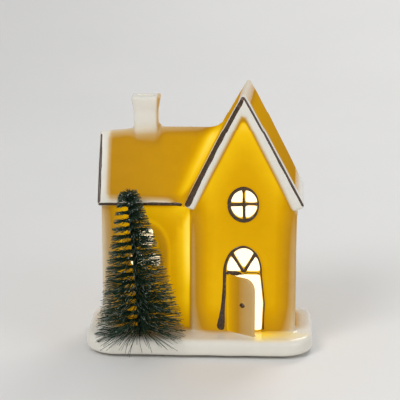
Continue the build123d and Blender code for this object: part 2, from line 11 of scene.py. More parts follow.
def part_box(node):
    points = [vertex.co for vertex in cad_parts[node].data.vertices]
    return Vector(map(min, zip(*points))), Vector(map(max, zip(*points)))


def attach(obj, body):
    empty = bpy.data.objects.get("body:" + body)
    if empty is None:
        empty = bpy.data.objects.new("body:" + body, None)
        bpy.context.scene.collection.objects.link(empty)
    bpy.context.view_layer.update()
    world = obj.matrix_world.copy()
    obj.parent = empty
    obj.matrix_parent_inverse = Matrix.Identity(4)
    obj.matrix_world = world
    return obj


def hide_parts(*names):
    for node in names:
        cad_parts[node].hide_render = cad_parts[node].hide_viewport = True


# A lit porcelain village house with a bottle-brush tree. Metres, +X right, -Y front, +Z up.

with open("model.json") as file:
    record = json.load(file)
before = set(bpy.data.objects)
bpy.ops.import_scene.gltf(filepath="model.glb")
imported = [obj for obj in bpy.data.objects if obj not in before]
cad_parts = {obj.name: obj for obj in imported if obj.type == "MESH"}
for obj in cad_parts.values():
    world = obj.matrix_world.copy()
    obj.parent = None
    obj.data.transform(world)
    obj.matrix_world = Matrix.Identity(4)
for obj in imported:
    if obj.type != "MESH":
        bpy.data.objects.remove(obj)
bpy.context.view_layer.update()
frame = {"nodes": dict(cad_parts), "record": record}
MM = 0.001

# Sizes that the solids were built to
WALL = 3.0 * MM
SURROUND_RELIEF = 0.6 * MM
GABLE_ROOF_THICK = 5.2 * MM
MAIN_ROOF_THICK = 4.4 * MM
GABLE_PITCH = math.radians(63.5)
MAIN_PITCH = math.radians(59.7)
ROOF_ROUND = 1.2 * MM
BAR = 1.4 * MM
ROUND_WINDOW_HEIGHT = 65.0 * MM
ROUND_WINDOW_HALF_WIDE = 6.4 * MM
ROUND_WINDOW_HALF_TALL = 7.3 * MM
DOORWAY_HALF = 7.9 * MM
DOORWAY_FLARE = 1.5 * MM
DOORWAY_FLARE_HEIGHT = 15.0 * MM
DOORWAY_FOOT_FLARE = 1.0 * MM
DOORWAY_HEIGHT = 29.4 * MM
FANLIGHT_RISE = 12.0 * MM
FANLIGHT_BAR_ANGLE = math.radians(31.0)
DOOR_AJAR = math.radians(34.0)
KNOB_FROM_HINGE = 9.0 * MM
KNOB_HEIGHT = 15.2 * MM
KNOB_RADIUS = 1.5 * MM
KNOB_RELIEF = 0.5 * MM
STEM_RADIUS = 1.1 * MM
TREE_FIRST = 3.0 * MM
TREE_RADIUS = 22.0 * MM
TREE_TOP_RADIUS = 4.2 * MM
TREE_PITCH = 7.8 * MM
ARCH_RELIEF = 1.0 * MM
ARCH_FROM_LEFT = 21.7 * MM
ARCH_SPRING_HEIGHT = 40.0 * MM
ARCH_RISE = 14.2 * MM
ARCH_HALF_WIDTH = 11.6 * MM

# Places read from the frame
base_low, base_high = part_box("snow_base")
walls_low, walls_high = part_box("house_walls")
gable_low, gable_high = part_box("gable_roof")
main_low, main_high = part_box("main_roof")
door_low, door_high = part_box("door_leaf")
chimney_low, chimney_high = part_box("chimney")
lamp_low, lamp_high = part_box("led_lamp")
stem_low, stem_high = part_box("tree_stem")
top = base_high.z
gable_x = (gable_low.x + gable_high.x) / 2
gable_left = 2 * gable_x - walls_high.x
gable_front = walls_low.y + SURROUND_RELIEF
ridge_y = (main_low.y + main_high.y) / 2
main_front = 2 * ridge_y - walls_high.y
lamp = (lamp_low + lamp_high) / 2
spring_z = top + DOORWAY_HEIGHT + BAR
slots = {entry["node"]: entry["material_slot"] for entry in frame["record"]["subparts"]}


def sharp_ridge(height, pitch):
    """The height of a roof's ridge before its edge is rounded."""
    return height + ROOF_ROUND * (1 / math.cos(pitch) - 1)


gable_apex = sharp_ridge(gable_high.z, GABLE_PITCH)
main_ridge = sharp_ridge(main_high.z, MAIN_PITCH)


# Shader helpers

PATCH_LOW = 0.3
PATCH_HIGH = 0.7
ROUGHNESS_SPREAD = 0.06


def new_material(name):
    """A material and its Principled shader."""
    material = bpy.data.materials.new(name)
    material.use_nodes = True
    return material, material.node_tree.nodes["Principled BSDF"]


def add_node(material, kind, **values):
    """Add a node; values set its properties, or its inputs when the name is an input's."""
    made = material.node_tree.nodes.new(kind)
    for name, value in values.items():
        if hasattr(made, name):
            setattr(made, name, value)
        else:
            made.inputs[name].default_value = value
    return made


def link(material, source, target):
    material.node_tree.links.new(source, target)


def object_noise(material, scale, detail=3.0):
    """Noise in the object's own coordinates; scale is in waves per metre."""
    place = add_node(material, "ShaderNodeTexCoord")
    made = add_node(material, "ShaderNodeTexNoise", Scale=scale, Detail=detail)
    link(material, place.outputs["Object"], made.inputs["Vector"])
    return made.outputs["Fac"]


def ramp(material, factor, stops):
    """A colour ramp with stops of (position, colour)."""
    made = add_node(material, "ShaderNodeValToRGB")
    elements = made.color_ramp.elements
    while len(elements) < len(stops):
        elements.new(0.5)
    for element, (position, colour) in zip(elements, stops):
        element.position = position
        element.color = (*colour, 1.0)
    link(material, factor, made.inputs["Fac"])
    return made.outputs["Color"]


def two_tone(material, patches, low, high):
    """Two colours, blended over the middle of a noise's range."""
    return ramp(material, patches, [(PATCH_LOW, low), (PATCH_HIGH, high)])


def spread(material, factor, low, high, full=1.0):
    """Map a factor of 0 to full onto a range."""
    made = add_node(material, "ShaderNodeMapRange")
    made.inputs["From Max"].default_value = full
    made.inputs["To Min"].default_value = low
    made.inputs["To Max"].default_value = high
    link(material, factor, made.inputs["Value"])
    return made.outputs["Result"]


def mixed(material, first, second, blend, factor=None):
    """Two colours mixed by a factor, or in full when none is given."""
    made = add_node(material, "ShaderNodeMix", data_type="RGBA", blend_type=blend)
    if factor is None:
        made.inputs["Factor"].default_value = 1.0
    else:
        link(material, factor, made.inputs["Factor"])
    link(material, first, made.inputs["A"])
    link(material, second, made.inputs["B"])
    return made.outputs["Result"]


def bump(material, shader, height, distance, strength=1.0):
    made = add_node(material, "ShaderNodeBump", Strength=strength, Distance=distance)
    link(material, height, made.inputs["Height"])
    link(material, made.outputs["Normal"], shader.inputs["Normal"])


def point_value(material, name):
    """A number stored on the mesh's points."""
    return add_node(material, "ShaderNodeAttribute", attribute_name=name).outputs["Fac"]


def mottled(name, colour, variation, roughness, scale, grain=0.0, metallic=0.0):
    """A material whose colour and roughness vary a little over the surface, with a fine grain."""
    material, shader = new_material(name)
    patches = object_noise(material, scale)
    low = tuple(c * (1 - variation) for c in colour)
    high = tuple(min(1.0, c * (1 + variation)) for c in colour)
    rough = spread(material, patches, roughness - ROUGHNESS_SPREAD, roughness + ROUGHNESS_SPREAD)
    link(material, two_tone(material, patches, low, high), shader.inputs["Base Color"])
    link(material, rough, shader.inputs["Roughness"])
    shader.inputs["Metallic"].default_value = metallic
    if grain:
        bump(material, shader, object_noise(material, scale=6000.0, detail=2.0), grain)
    return material


# Mesh helpers

def make_object(name, mesh, material, replaced=()):
    """Put a finished mesh in the scene as a piece of the house."""
    mesh.materials.append(material)
    piece = bpy.data.objects.new(name, mesh)
    bpy.context.scene.collection.objects.link(piece)
    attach(piece, "house")
    if replaced:
        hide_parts(*replaced)


def mesh_from(name, points, faces):
    """A smooth mesh from points and faces."""
    mesh = bpy.data.meshes.new(name)
    mesh.from_pydata(np.asarray(points, float).tolist(), [], faces)
    mesh.polygons.foreach_set("use_smooth", np.ones(len(mesh.polygons), bool))
    mesh.update()
    return mesh


def coordinates(mesh):
    """The places of a mesh's points, a row for each."""
    points = np.empty(len(mesh.vertices) * 3, np.float32)
    mesh.vertices.foreach_get("co", points)
    return points.reshape(-1, 3)


def store(mesh, name, values):
    """Keep one number per point for the materials to read."""
    layer = mesh.attributes.new(name, "FLOAT", "POINT")
    layer.data.foreach_set("value", np.asarray(values, np.float32))


def above_snow(z):
    """1 over the snow, fading to 0 over the first millimetre below its top."""
    return np.clip((z - top) / MM + 1, 0, 1)


# Glow: how much of the lamp's light comes through the porcelain. The walls are lit by the rooms, and the
# roofs by hollows that reach a little into the eaves.

GABLE_ROOM_ROUND = 8.5 * MM
MAIN_ROOM_ROUND = 9.0 * MM
MAIN_ROOM_LIGHT = 0.76
GLOW_DEPTH = 3.3 * MM
ROOF_SKIN = 3.9 * MM
HOLLOW_ROUND = 1.0 * MM
GABLE_EAVE_SOLID = 4.6 * MM
MAIN_EAVE_SOLID = 2.9 * MM
RAKE_SOLID = 6.4 * MM
EAVE_FADE = 2.2 * MM
FASCIA_FADE = 2.4 * MM
GABLE_EAVE_LIGHT = 0.58
MAIN_ROOF_LIGHT = 0.98
MAIN_END_LOSS = 0.34
WALL_LIGHT = 0.72
LAMP_LIGHT = 0.5
LAMP_REACH = 34.0 * MM
FOOT_LIGHT = 0.66
FOOT_REACH = 14.0 * MM
UNDER_ROOF_REACH = 6.0 * MM
UNDER_ROOF_GLOW = 0.7
INNER_SKIN = 0.8 * MM
VALLEY_GLOW_REACH = 4.5 * MM
VALLEY_FOOT_LIGHT = 0.34
VALLEY_RISE_LIGHT = 0.60
VALLEY_START = 0.8 * MM
VALLEY_START_FADE = 1.0 * MM
CORNER_LIGHT = 0.7
CORNER_GLOW_REACH = 3.0 * MM
CORNER_GLOW_HEIGHT = 48.0 * MM
CORNER_GLOW_SPREAD = 17.0 * MM
ARCH_RIM = 1.1 * MM
ARCH_RIM_OUT = 0.55 * MM
ARCH_RIM_GLOW = 0.22
SPILL_REACH = 12.0 * MM
SPILL_REACH_LEFT = 2.4 * MM
SPILL_AHEAD = 4.2 * MM
SPILL_DEPTH = 7.2 * MM
SPILL_STRENGTH = 1.8
SNOW_SHARE = 0.75
ROOM_LIGHT = 0.92
DOOR_GLOW = 0.10
HINGE_GLOW = 0.36
HINGE_GLOW_SHARE = 0.30
CHIMNEY_EDGE = 2.6 * MM
CHIMNEY_EDGE_GLOW = 0.13


def plan_distance(x, y, low, high, radius):
    """Signed distance in plan to an upright box with round corners."""
    across = np.abs(x - (low[0] + high[0]) / 2) - (high[0] - low[0]) / 2 + radius
    along = np.abs(y - (low[1] + high[1]) / 2) - (high[1] - low[1]) / 2 + radius
    outside = np.hypot(np.maximum(across, 0), np.maximum(along, 0))
    return outside + np.minimum(np.maximum(across, along), 0) - radius


def roof_distance(aside, z, ridge, pitch, thick):
    """Distance above the underside of a roof, counted round the underside's own ridge."""
    rise = z - ridge + thick / math.cos(pitch)
    square = rise * math.cos(pitch) + aside * math.sin(pitch)
    down = aside * math.cos(pitch) - rise * math.sin(pitch)
    return np.where((down < 0) & (square > 0), np.hypot(square, down), square)


def under_roof(aside, z, ridge, pitch, thick):
    """How close points are to the undersides of a roof's two slopes."""
    slopes = [roof_distance(side * aside, z, ridge, pitch, thick) for side in (-1, 1)]
    return sum(np.exp(np.minimum(slope, 0) / UNDER_ROOF_REACH) for slope in slopes)


def room_glow(plan, roof, under, floor):
    """Light through a room's walls, more of it close under the roof; also how deep the points lie."""
    depth = np.sqrt(np.maximum(plan, 0) ** 2 + np.maximum(roof, 0) ** 2 + np.maximum(floor, 0) ** 2)
    below = np.clip(1 - roof / FASCIA_FADE, 0, 1)
    return np.exp(-depth / GLOW_DEPTH) * (1 + UNDER_ROOF_GLOW * under) * below, depth


def roof_glow(plan, roof, thick):
    """Light through a roof, fading out over the solid eaves."""
    through = np.exp(-np.maximum(roof - thick + ROOF_SKIN, 0) / GLOW_DEPTH)
    above = np.clip(roof / (thick / 2), 0, 1)
    return through * above * np.exp(-((np.maximum(plan, 0) / EAVE_FADE) ** 2))


def valley_glow(x, y, over_gable, over_main, rise):
    """Light in the valley between the two roofs, behind the gable's fascia, more of it towards the top."""
    near = np.exp(-((np.hypot(over_gable, over_main) / VALLEY_GLOW_REACH) ** 2))
    behind_edge = np.clip((y - gable_low.y - VALLEY_START) / VALLEY_START_FADE, 0, 1)
    return near * (x < gable_x) * behind_edge * (VALLEY_FOOT_LIGHT + VALLEY_RISE_LIGHT * rise)


def arch_rim(x, y, z):
    """How close points are to the outer edge of the arched window's raised band, which is painted with a
    brighter glow.
    """
    aside = x - walls_low.x - ARCH_FROM_LEFT
    rise = np.maximum(z - top - ARCH_SPRING_HEIGHT, 0) * ARCH_HALF_WIDTH / ARCH_RISE
    outside = np.hypot(aside, rise) - ARCH_HALF_WIDTH
    return np.exp(-(((outside - ARCH_RIM_OUT) / ARCH_RIM) ** 2)) * (y < main_front + WALL)


def wall_share(points):
    """How strongly walls are lit: more near the lamp and beside the gable, less at their foot."""
    x, y, z = points.astype(float).T
    distance = np.linalg.norm(points - np.array(lamp), axis=1)
    near = 1 / (1 + (distance / LAMP_REACH) ** 2)
    foot = FOOT_LIGHT + (1 - FOOT_LIGHT) * np.clip((z - top) / FOOT_REACH, 0, 1)
    corner = np.exp(-np.abs(gable_left - x) / CORNER_GLOW_REACH)
    corner *= np.exp(-(((z - CORNER_GLOW_HEIGHT) / CORNER_GLOW_SPREAD) ** 2))
    corner *= (y < main_front + WALL) & (x < gable_left)
    return (WALL_LIGHT + LAMP_LIGHT * near + CORNER_LIGHT * corner) * foot


def glow(points):
    """The light at points of the casting, 0 where none comes through; also which are inside the rooms."""
    x, y, z = points.astype(float).T
    floor = top - z
    back = walls_high.y - WALL
    eave_back = main_high.y - MAIN_EAVE_SOLID
    gable_room = (gable_left + WALL, gable_front + WALL), (walls_high.x - WALL, back)
    gable_hollow = (
        (gable_low.x + GABLE_EAVE_SOLID, gable_front + WALL),
        (gable_high.x - GABLE_EAVE_SOLID, eave_back),
    )
    main_end = gable_left + WALL + MAIN_ROOM_ROUND
    main_room = (walls_low.x + WALL, main_front + WALL), (main_end, back)
    main_hollow = (main_low.x + RAKE_SOLID, main_low.y + MAIN_EAVE_SOLID), (gable_x, eave_back)
    gable_shape = gable_apex, GABLE_PITCH, GABLE_ROOF_THICK
    main_shape = main_ridge, MAIN_PITCH, MAIN_ROOF_THICK
    gable_up = roof_distance(np.abs(x - gable_x), z, *gable_shape)
    main_up = roof_distance(np.abs(y - ridge_y), z, *main_shape)
    gable_under = under_roof(x - gable_x, z, *gable_shape)
    main_under = under_roof(y - ridge_y, z, *main_shape)
    gable_plan = plan_distance(x, y, *gable_room, GABLE_ROOM_ROUND)
    main_plan = plan_distance(x, y, *main_room, MAIN_ROOM_ROUND)
    gable, gable_depth = room_glow(gable_plan, gable_up, gable_under, floor)
    main, main_depth = room_glow(main_plan, main_up, main_under, floor)
    gable_side = gable_x - np.minimum(gable_x - gable_left, (gable_apex - z) / math.tan(GABLE_PITCH))
    beside_gable = np.clip((gable_side - x) / (WALL / 2) + 1, 0, 1)
    main *= beside_gable * (1 + ARCH_RIM_GLOW * arch_rim(x, y, z))
    walls = (gable + MAIN_ROOM_LIGHT * main) * wall_share(points)
    rise = np.clip((z - gable_low.z) / (gable_high.z - gable_low.z), 0, 1)
    to_left = np.clip((gable_left - x) / (gable_left - main_low.x), 0, 1)
    gable_roof = roof_glow(plan_distance(x, y, *gable_hollow, HOLLOW_ROUND), gable_up, GABLE_ROOF_THICK)
    gable_roof *= GABLE_EAVE_LIGHT + (1 - GABLE_EAVE_LIGHT) * rise
    main_roof = roof_glow(plan_distance(x, y, *main_hollow, HOLLOW_ROUND), main_up, MAIN_ROOF_THICK)
    main_roof *= beside_gable * (MAIN_ROOF_LIGHT - MAIN_END_LOSS * to_left)
    valley = valley_glow(x, y, gable_up - GABLE_ROOF_THICK, main_up - MAIN_ROOF_THICK, rise)
    lit = np.maximum(walls, np.maximum(gable_roof, main_roof)) + valley
    return lit, np.minimum(gable_depth, main_depth) < INNER_SKIN


def door_spill(points):
    """Light that falls on the snow through the gap beside the open door."""
    x, y, z = points.astype(float).T
    aside = x - (door_high.x + gable_x + DOORWAY_HALF + DOORWAY_FOOT_FLARE) / 2
    ahead = gable_front - y
    fade = np.where(aside > 0, np.exp(-aside / SPILL_REACH), np.exp(aside / SPILL_REACH_LEFT))
    fade *= above_snow(z)
    fade *= np.exp(-np.abs(ahead - SPILL_AHEAD) / SPILL_DEPTH) * (ahead > 0)
    return np.minimum(SPILL_STRENGTH * fade, 1)


def door_glow(points):
    """Light through the door leaf, most of it beside the hinge."""
    share = (points[:, 0] - door_low.x) / (door_high.x - door_low.x)
    return DOOR_GLOW + HINGE_GLOW * np.exp(-np.maximum(share, 0) / HINGE_GLOW_SHARE)


def chimney_edge(points):
    """Light from the bright valley on the edge of the chimney that faces it."""
    low = chimney_high.x - CHIMNEY_EDGE
    return CHIMNEY_EDGE_GLOW * np.clip((points[:, 0] - low) / (CHIMNEY_EDGE / 2), 0, 1)


WHITE = (1.0, 1.0, 1.0)
PALE_GREY = (0.95, 0.95, 0.95)
BLACK = (0.0, 0.0, 0.0)
SPILL_TINT = (0.95, 0.78, 0.18)
SPILL_LIGHT = (0.20, 0.14, 0.0)
SHINE = 1.5

# The glaze's colour with the lamp's light painted into it, amber where the light comes through, and the
# light that it gives, by how much of the lamp's light comes through
LAMPLIT_GLAZE_COLOURS = [
    (0.02, (0.80, 0.765, 0.68)),
    (0.06, (0.75, 0.68, 0.54)),
    (0.12, (0.52, 0.37, 0.17)),
    (0.20, (0.28, 0.145, 0.014)),
    (0.36, (0.21, 0.095, 0.003)),
]
GLAZE_LIGHT = [
    (0.03, BLACK),
    (0.06, (0.02, 0.01, 0.0)),
    (0.12, (0.10, 0.045, 0.002)),
    (0.20, (0.24, 0.11, 0.0)),
    (0.36, (0.50, 0.265, 0.0)),
    (0.55, (0.78, 0.50, 0.006)),
    (0.75, (1.0, 0.74, 0.10)),
    (0.90, (1.5, 1.36, 0.95)),
]


def porcelain_material():
    """White glaze with the lamp's light painted in: amber colour and a glow where the lamp shines through,
    and a yellow pool of painted light where it spills from the door.
    """
    material, shader = new_material("glazed_porcelain")
    lit = point_value(material, "lit")
    spill = point_value(material, "spill")
    light = [(position, tuple(c / SHINE for c in colour)) for position, colour in GLAZE_LIGHT]
    patches = object_noise(material, scale=160.0)
    shade = two_tone(material, patches, PALE_GREY, WHITE)
    # Painted pool of the door's light on the snow: a yellower colour and an added yellow glow where spill
    # is high
    tint = ramp(material, spill, [(0.0, WHITE), (1.0, SPILL_TINT)])
    spilt = ramp(material, spill, [(0.0, BLACK), (1.0, SPILL_LIGHT)])
    colour = mixed(material, ramp(material, lit, LAMPLIT_GLAZE_COLOURS), shade, "MULTIPLY")
    colour = mixed(material, colour, tint, "MULTIPLY")
    shining = mixed(material, ramp(material, lit, light), shade, "MULTIPLY")
    shining = mixed(material, shining, spilt, "ADD")
    link(material, colour, shader.inputs["Base Color"])
    link(material, shining, shader.inputs["Emission Color"])
    shader.inputs["Emission Strength"].default_value = SHINE
    gloss = spread(material, lit, low=0.35, high=0.0, full=0.2)
    coat = spread(material, lit, low=0.10, high=0.0, full=0.15)
    link(material, spread(material, patches, low=0.16, high=0.26), shader.inputs["Roughness"])
    link(material, gloss, shader.inputs["Specular IOR Level"])
    link(material, coat, shader.inputs["Coat Weight"])
    shader.inputs["Coat Roughness"].default_value = 0.08
    ripple = object_noise(material, scale=420.0, detail=2.0)
    bump(material, shader, ripple, distance=0.05 * MM, strength=0.5)
    return material


# Porcelain: the solids as one soft casting. Distance fields of the solids are blurred a little, which
# rounds the edges, and blurred more in the hollows, which fills them as slip and glaze do. The casting is
# then parted again along the solids' own joints, and each part laps a little under its neighbours.

PORCELAIN = ("snow_base", "house_walls", "main_roof", "gable_roof", "chimney", "door_leaf")
VOXEL = 0.4 * MM
BAND = 16
GRID_MARGIN = BAND + 2
BLUR_REACH = 3
EDGE_BLUR = 0.45 * MM
HOLLOW_BLUR = 1.3 * MM
VALLEY_REACH = 6.4 * MM
VALLEY_DEPTH = 2.2 * MM
VALLEY_FADE = 3.0 * MM
CHIMNEY_REACH = 4.5 * MM
CHIMNEY_DEPTH = 1.5 * MM
CHIMNEY_LEFT_SHARE = 0.2
SEAM_LAP = 0.5 * MM
SEAM_SINK = 0.12 * MM
FLATNESS = 0.006
WOBBLE = 0.14 * MM
WOBBLE_WAVE = 13.0 * MM
RIDGE_SAG = 2.4 * MM
RIDGE_BLEND = 4.0 * MM
SAG_RUN = 34.0 * MM
SAG_CURVE = 1.3
APEX_LEAN = -0.9 * MM
GABLE_SKEW = 1.3 * MM
EAVE_SKEW_SHARE = 0.4
GABLE_EDGE_SHARE = 0.7
GABLE_BLEND = 20.0 * MM
GABLE_WIDENING = 1.1 * MM
WIDENING_BLEND = 18.0 * MM
GABLE_SWELL_LEFT = 0.9 * MM
GABLE_SWELL_RIGHT = 1.5 * MM
SWELL_RUN = 12.0 * MM
SWELL_CROSSING = 3.0 * MM
SWELL_CURVE = 0.6

boxes = [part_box(name) for name in PORCELAIN]
grid_low = np.floor(np.min([low for low, high in boxes], axis=0) / VOXEL).astype(int) - GRID_MARGIN
grid_high = np.ceil(np.max([high for low, high in boxes], axis=0) / VOXEL).astype(int) + GRID_MARGIN
grid_shape = tuple(int(n) for n in grid_high - grid_low + 1)
grid_corner = tuple(int(n) for n in grid_low)


def solid_field(name):
    """Signed distance to a CAD node on the shared grid."""
    mesh = frame["nodes"][name].data
    mesh.calc_loop_triangles()
    triangles = np.empty(len(mesh.loop_triangles) * 3, np.int32)
    mesh.loop_triangles.foreach_get("vertices", triangles)
    grid = vdb.FloatGrid.createLevelSetFromPolygons(
        coordinates(mesh),
        triangles=triangles.reshape(-1, 3).astype(np.uint32),
        transform=vdb.createLinearTransform(VOXEL),
        halfWidth=BAND,
    )
    field = np.empty(grid_shape, np.float32)
    grid.copyToArray(field, ijk=grid_corner)
    return field


def blurred(field, width):
    """Gaussian blur of a field along its three axes."""
    reach = math.ceil(BLUR_REACH * width / VOXEL)
    weights = np.exp(-0.5 * (np.arange(-reach, reach + 1) * VOXEL / width) ** 2)
    weights = (weights / weights.sum()).astype(np.float32)
    for axis in range(3):
        margin = [(reach, reach) if other == axis else (0, 0) for other in range(3)]
        padded = np.pad(field, margin, mode="edge")
        count = field.shape[axis]
        field = np.zeros_like(field)
        for start, weight in enumerate(weights):
            window = [slice(None)] * 3
            window[axis] = slice(start, start + count)
            field += weight * padded[tuple(window)]
    return field


def fillet(first, second, reach, depth):
    """How much two solids are thickened where both are near."""
    return depth * np.clip(1 - np.maximum(first, second) / reach, 0, 1) ** 2


def roof_fillets(fields):
    """The fillets between the two roofs and at the chimney's foot, where most of it is on the right."""
    x, y, z = [(grid_low[axis] + np.arange(grid_shape[axis])) * VOXEL for axis in range(3)]
    behind_fascia = np.clip((y - main_low.y) / VALLEY_FADE + 1, 0, 1)[None, :, None]
    above_eave = np.clip((z - main_low.z) / VALLEY_FADE, 0, 1)[None, None, :]
    valley = fillet(fields["main_roof"], fields["gable_roof"], VALLEY_REACH, VALLEY_DEPTH)
    to_right = (x - chimney_low.x) / (chimney_high.x - chimney_low.x)
    to_right = np.clip(to_right, CHIMNEY_LEFT_SHARE, 1)[:, None, None]
    chimney = fillet(fields["main_roof"], fields["chimney"], CHIMNEY_REACH, CHIMNEY_DEPTH)
    return (valley * behind_fascia * above_eave + chimney * to_right).astype(np.float32)


def gable_swell(x, z, rise):
    """How far the gable's roof swells to its two sides, over its underside and out to the main roof."""
    over = roof_distance(np.abs(x - gable_x), z, gable_apex, GABLE_PITCH, GABLE_ROOF_THICK)
    full = np.clip(over / GABLE_ROOF_THICK, 0, 1)
    full *= np.clip(1 - (over - GABLE_ROOF_THICK) / SWELL_RUN, 0, 1)
    side = np.clip((x - gable_x) / SWELL_CROSSING, -1, 1)
    left = GABLE_SWELL_LEFT * np.sin(math.pi * rise)
    right = GABLE_SWELL_RIGHT * (1 - rise) ** SWELL_CURVE
    return full * side * np.where(side < 0, left, right)


def hand_shape(points):
    """The small sags and leans of a house shaped by hand: its main roof's left end and its gable."""
    x, y, z = np.asarray(points, float).T
    moved = np.array(points, float)
    over_ridge = np.clip((z - main_high.z) / RIDGE_BLEND, 0, 1)
    end_x = x + over_ridge * ((chimney_low.x + chimney_high.x) / 2 - x)
    end = np.clip((main_low.x + SAG_RUN - end_x) / SAG_RUN, 0, 1) ** SAG_CURVE
    up = np.clip((z - main_low.z) / (main_high.z - main_low.z), 0, 1)
    moved[:, 2] -= RIDGE_SAG * end * up
    in_gable = np.clip((x - gable_low.x) / GABLE_BLEND + GABLE_EDGE_SHARE, 0, 1)
    rise = np.clip((z - gable_low.z) / (gable_high.z - gable_low.z), 0, 1)
    back = np.clip((y - gable_low.y) / (gable_high.y - gable_low.y), 0, 1)
    foot = np.clip((z - top) / (gable_low.z - top), 0, 1)
    lean = APEX_LEAN * rise * (1 - back)
    skew = GABLE_SKEW * back * (EAVE_SKEW_SHARE + (1 - EAVE_SKEW_SHARE) * rise) * foot
    moved[:, 0] += in_gable * (lean + skew)
    from_middle = (gable_x - x) / (gable_x - gable_low.x)
    leftward = np.clip(from_middle, 0, 1) * np.clip((x - gable_low.x) / WIDENING_BLEND + 1, 0, 1)
    moved[:, 0] -= GABLE_WIDENING * leftward * (1 - rise) * above_snow(z)
    moved[:, 0] += gable_swell(x, z, rise)
    return moved


def settle_casting(mesh):
    """Give a mesh the slow unevenness of a casting and the shape of the hand."""
    points = coordinates(mesh)
    normals = np.empty(len(points) * 3, np.float32)
    mesh.vertices.foreach_get("normal", normals)
    lift = np.array([noise.noise(Vector(point) / WOBBLE_WAVE) for point in points])
    points = hand_shape(points + WOBBLE * lift[:, None] * normals.reshape(-1, 3))
    mesh.vertices.foreach_set("co", points.astype(np.float32).ravel())
    mesh.update()


def cast_piece(name, fields, soft):
    """One porcelain piece: the soft casting where this node is nearest, lapped under its neighbours."""
    others = np.minimum.reduce([fields[other] for other in fields if other != name])
    beyond = (fields[name] - others) / 2
    sunk = soft + SEAM_SINK * np.clip(beyond / SEAM_LAP, 0, 1)
    field = np.maximum(sunk, beyond - SEAM_LAP).astype(np.float32)
    grid = vdb.FloatGrid(BAND * VOXEL)
    grid.copyFromArray(field, ijk=grid_corner)
    grid.transform = vdb.createLinearTransform(VOXEL)
    points, triangles, quads = grid.convertToPolygons(isovalue=0.0, adaptivity=FLATNESS)
    return mesh_from(name, points, triangles.tolist() + quads.tolist())


def make_porcelain():
    """All porcelain pieces, and a search tree of their faces for what is painted on them."""
    fields = {name: solid_field(name) for name in PORCELAIN}
    union = np.minimum.reduce(list(fields.values()))
    soft = np.minimum(blurred(union, EDGE_BLUR), blurred(union, HOLLOW_BLUR)) - roof_fillets(fields)
    material = porcelain_material()
    corners = []
    faces = []
    for name in PORCELAIN:
        mesh = cast_piece(name, fields, soft)
        points = coordinates(mesh)
        lit, inside = glow(points)
        if name == "snow_base":
            lit = SNOW_SHARE * lit
            store(mesh, "spill", door_spill(points))
        if name == "door_leaf":
            lit = door_glow(points)
        if name == "chimney":
            lit = np.maximum(lit, chimney_edge(points))
        lit = np.where(inside, np.maximum(lit, ROOM_LIGHT), lit)
        settle_casting(mesh)
        store(mesh, "lit", lit)
        make_object("cast_" + name, mesh, material, [name])
        start = len(corners)
        corners.extend(Vector(point) for point in coordinates(mesh))
        faces.extend([start + index for index in polygon.vertices] for polygon in mesh.polygons)
    return BVHTree.FromPolygons(corners, faces)


surface = make_porcelain()


# Painted lines: domed ribbons of brown paint that lie on the porcelain

PAINT_RISE = 0.16 * MM
KNOB_PAINT_RISE = 0.3 * MM
PAINT_SINK = 0.05 * MM
PAINT_STEP = 0.45 * MM
PAINT_PROFILE = (-1.0, -0.85, -0.6, -0.3, 0.0, 0.3, 0.6, 0.85, 1.0)
LEAST_POINTS = 4
FACING_PASSES = 2
HAND_WAVE = 5.0 * MM
HAND_WAVER = 0.22
TIP_SHARE = 0.02
FASCIA_POINTS = 61
FASCIA_INSET_LEFT = 0.75 * MM
FASCIA_INSET_RIGHT = -0.3 * MM
FASCIA_END = 0.4 * MM
FASCIA_APEX_ROUND = 0.25 * MM
FASCIA_TAIL = 1.6 * MM
FASCIA_TAIL_INSET = 0.2 * MM
RAKE_POINTS = 20
RAKE_START = 1.5 * MM
RAKE_INSET = 0.8 * MM
EAVE_START = 0.3 * MM
EAVE_START_RISE = 1.3 * MM
EAVE_END = 1.5 * MM
EAVE_END_RISE = 2.0 * MM
ELLIPSE_POINTS = 49
OUTLINE_GAP = 0.8 * MM
DOORWAY_ARCH_SHIFT = 0.3 * MM
DOORWAY_END = 1.2 * MM
RING_GAP = 0.5 * MM
RING_START = 180
RING_OVERLAP = 5
WINDOW_SHIFT = 0.1 * MM
BAR_TILT = 0.2 * MM
FAN_BAR_SHARE = 0.96
TRANSOM_OUT = 0.6 * MM
TRANSOM_START_RISE = 0.3 * MM
TRANSOM_SAG = 0.2 * MM
TRANSOM_END_RISE = 0.1 * MM

# The doorway line's left side in millimetres: how far it stands out, and its height above the snow
DOORWAY_LEFT_SIDE = ((2.0, 1.0), (1.6, 8.0), (0.5, 20.0))

# Widths of the strokes: shares of a stroke's length, and its width there in millimetres
FASCIA_WIDTHS = ((0, 5.0), (0.05, 4.2), (0.46, 3.2), (0.52, 1.7), (1, 2.3))
RAKE_WIDTHS = ((0, 1.2), (0.3, 1.8), (1, 2.1))
EAVE_WIDTHS = ((0, 2.9), (1, 3.1))
RING_WIDTHS = ((0, 1.7), (0.25, 1.9), (0.45, 0.8), (0.55, 0.8), (0.75, 1.9), (1, 1.7))
UPRIGHT_WIDTHS = ((0, 1.9), (0.25, 1.2), (1, 1.4))
LEVEL_WIDTHS = ((0, 1.7), (1, 1.5))
FAN_BAR_WIDTHS = ((0, 1.7), (0.5, 1.3), (1, 1.8))
TRANSOM_LEFT_WIDTHS = ((0, 1.7), (0.6, 2.1), (1, 1.6))
TRANSOM_RIGHT_WIDTHS = ((0, 0.6), (1, 0.5))
KNOB_WIDTHS = ((0, 2 * KNOB_RADIUS / MM), (1, 2 * KNOB_RADIUS / MM))
DOORWAY_WIDTHS = (
    (0, 6.2),
    (0.06, 3.8),
    (0.17, 2.1),
    (0.45, 1.7),
    (0.6, 1.4),
    (0.75, 0.8),
    (0.95, 0.7),
    (1, 1.3),
)

PAINT_COLOURS = [
    (0.3, (0.030, 0.013, 0.003)),
    (0.55, (0.055, 0.025, 0.006)),
    (0.75, (0.115, 0.056, 0.014)),
]


